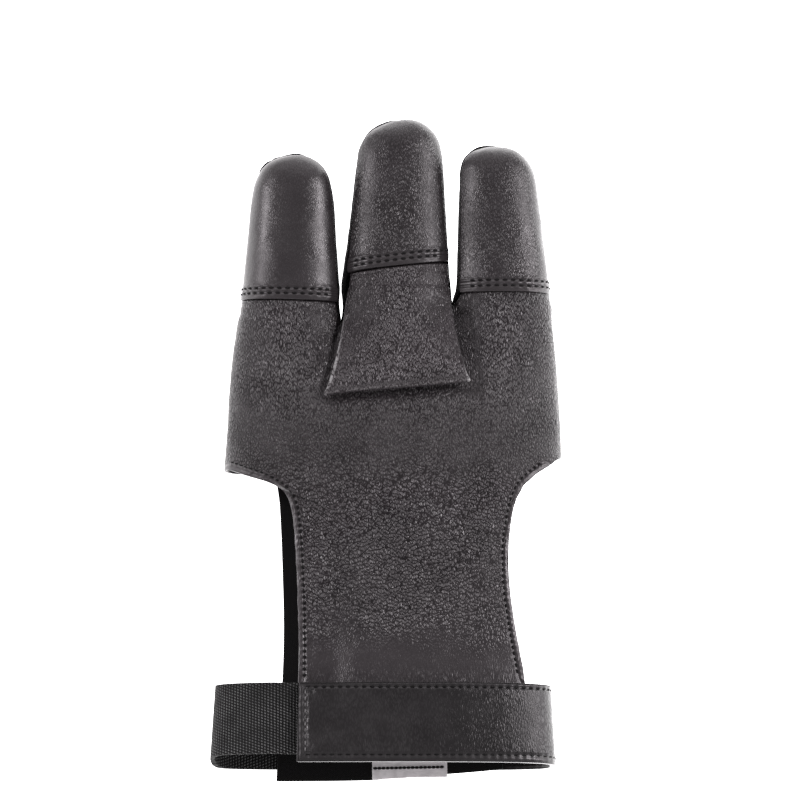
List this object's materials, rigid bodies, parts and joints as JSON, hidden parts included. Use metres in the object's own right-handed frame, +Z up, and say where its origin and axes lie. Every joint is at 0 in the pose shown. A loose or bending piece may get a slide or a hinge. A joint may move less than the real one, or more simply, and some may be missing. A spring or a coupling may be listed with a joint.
{
  "type": "archery glove",
  "caption": "Right-hand three-finger shooting glove: leather fingertip caps, palm and wrist strap on a stretch back, lying palm up.",
  "frame": {"origin": "middle of the glove's bounding box at its underside, where it lies on its back", "axes": "+Y from the wrist to the fingertips, +X to the thumb side, +Z up out of the palm"},
  "size_m": [0.11, 0.2076, 0.03],
  "materials": {
    "cap_leather": "smooth satin, fine grain",
    "palm_leather": "pebbled grain, satin",
    "strap_leather": "fine grain, satin",
    "stretch_fabric": "matte knit",
    "elastic": "matte ribbed weave",
    "label": "plain light satin"
  },
  "bodies": {
    "root": {"ring_cap": "cap_leather", "middle_cap": "cap_leather", "index_cap": "cap_leather", "palm_leather": "palm_leather", "middle_tongue": "palm_leather", "stretch_back": "stretch_fabric", "wrist_strap": "strap_leather", "wrist_elastic": "elastic", "closure_patch": "stretch_fabric", "edge_label": "label"}
  },
  "joints": []
}
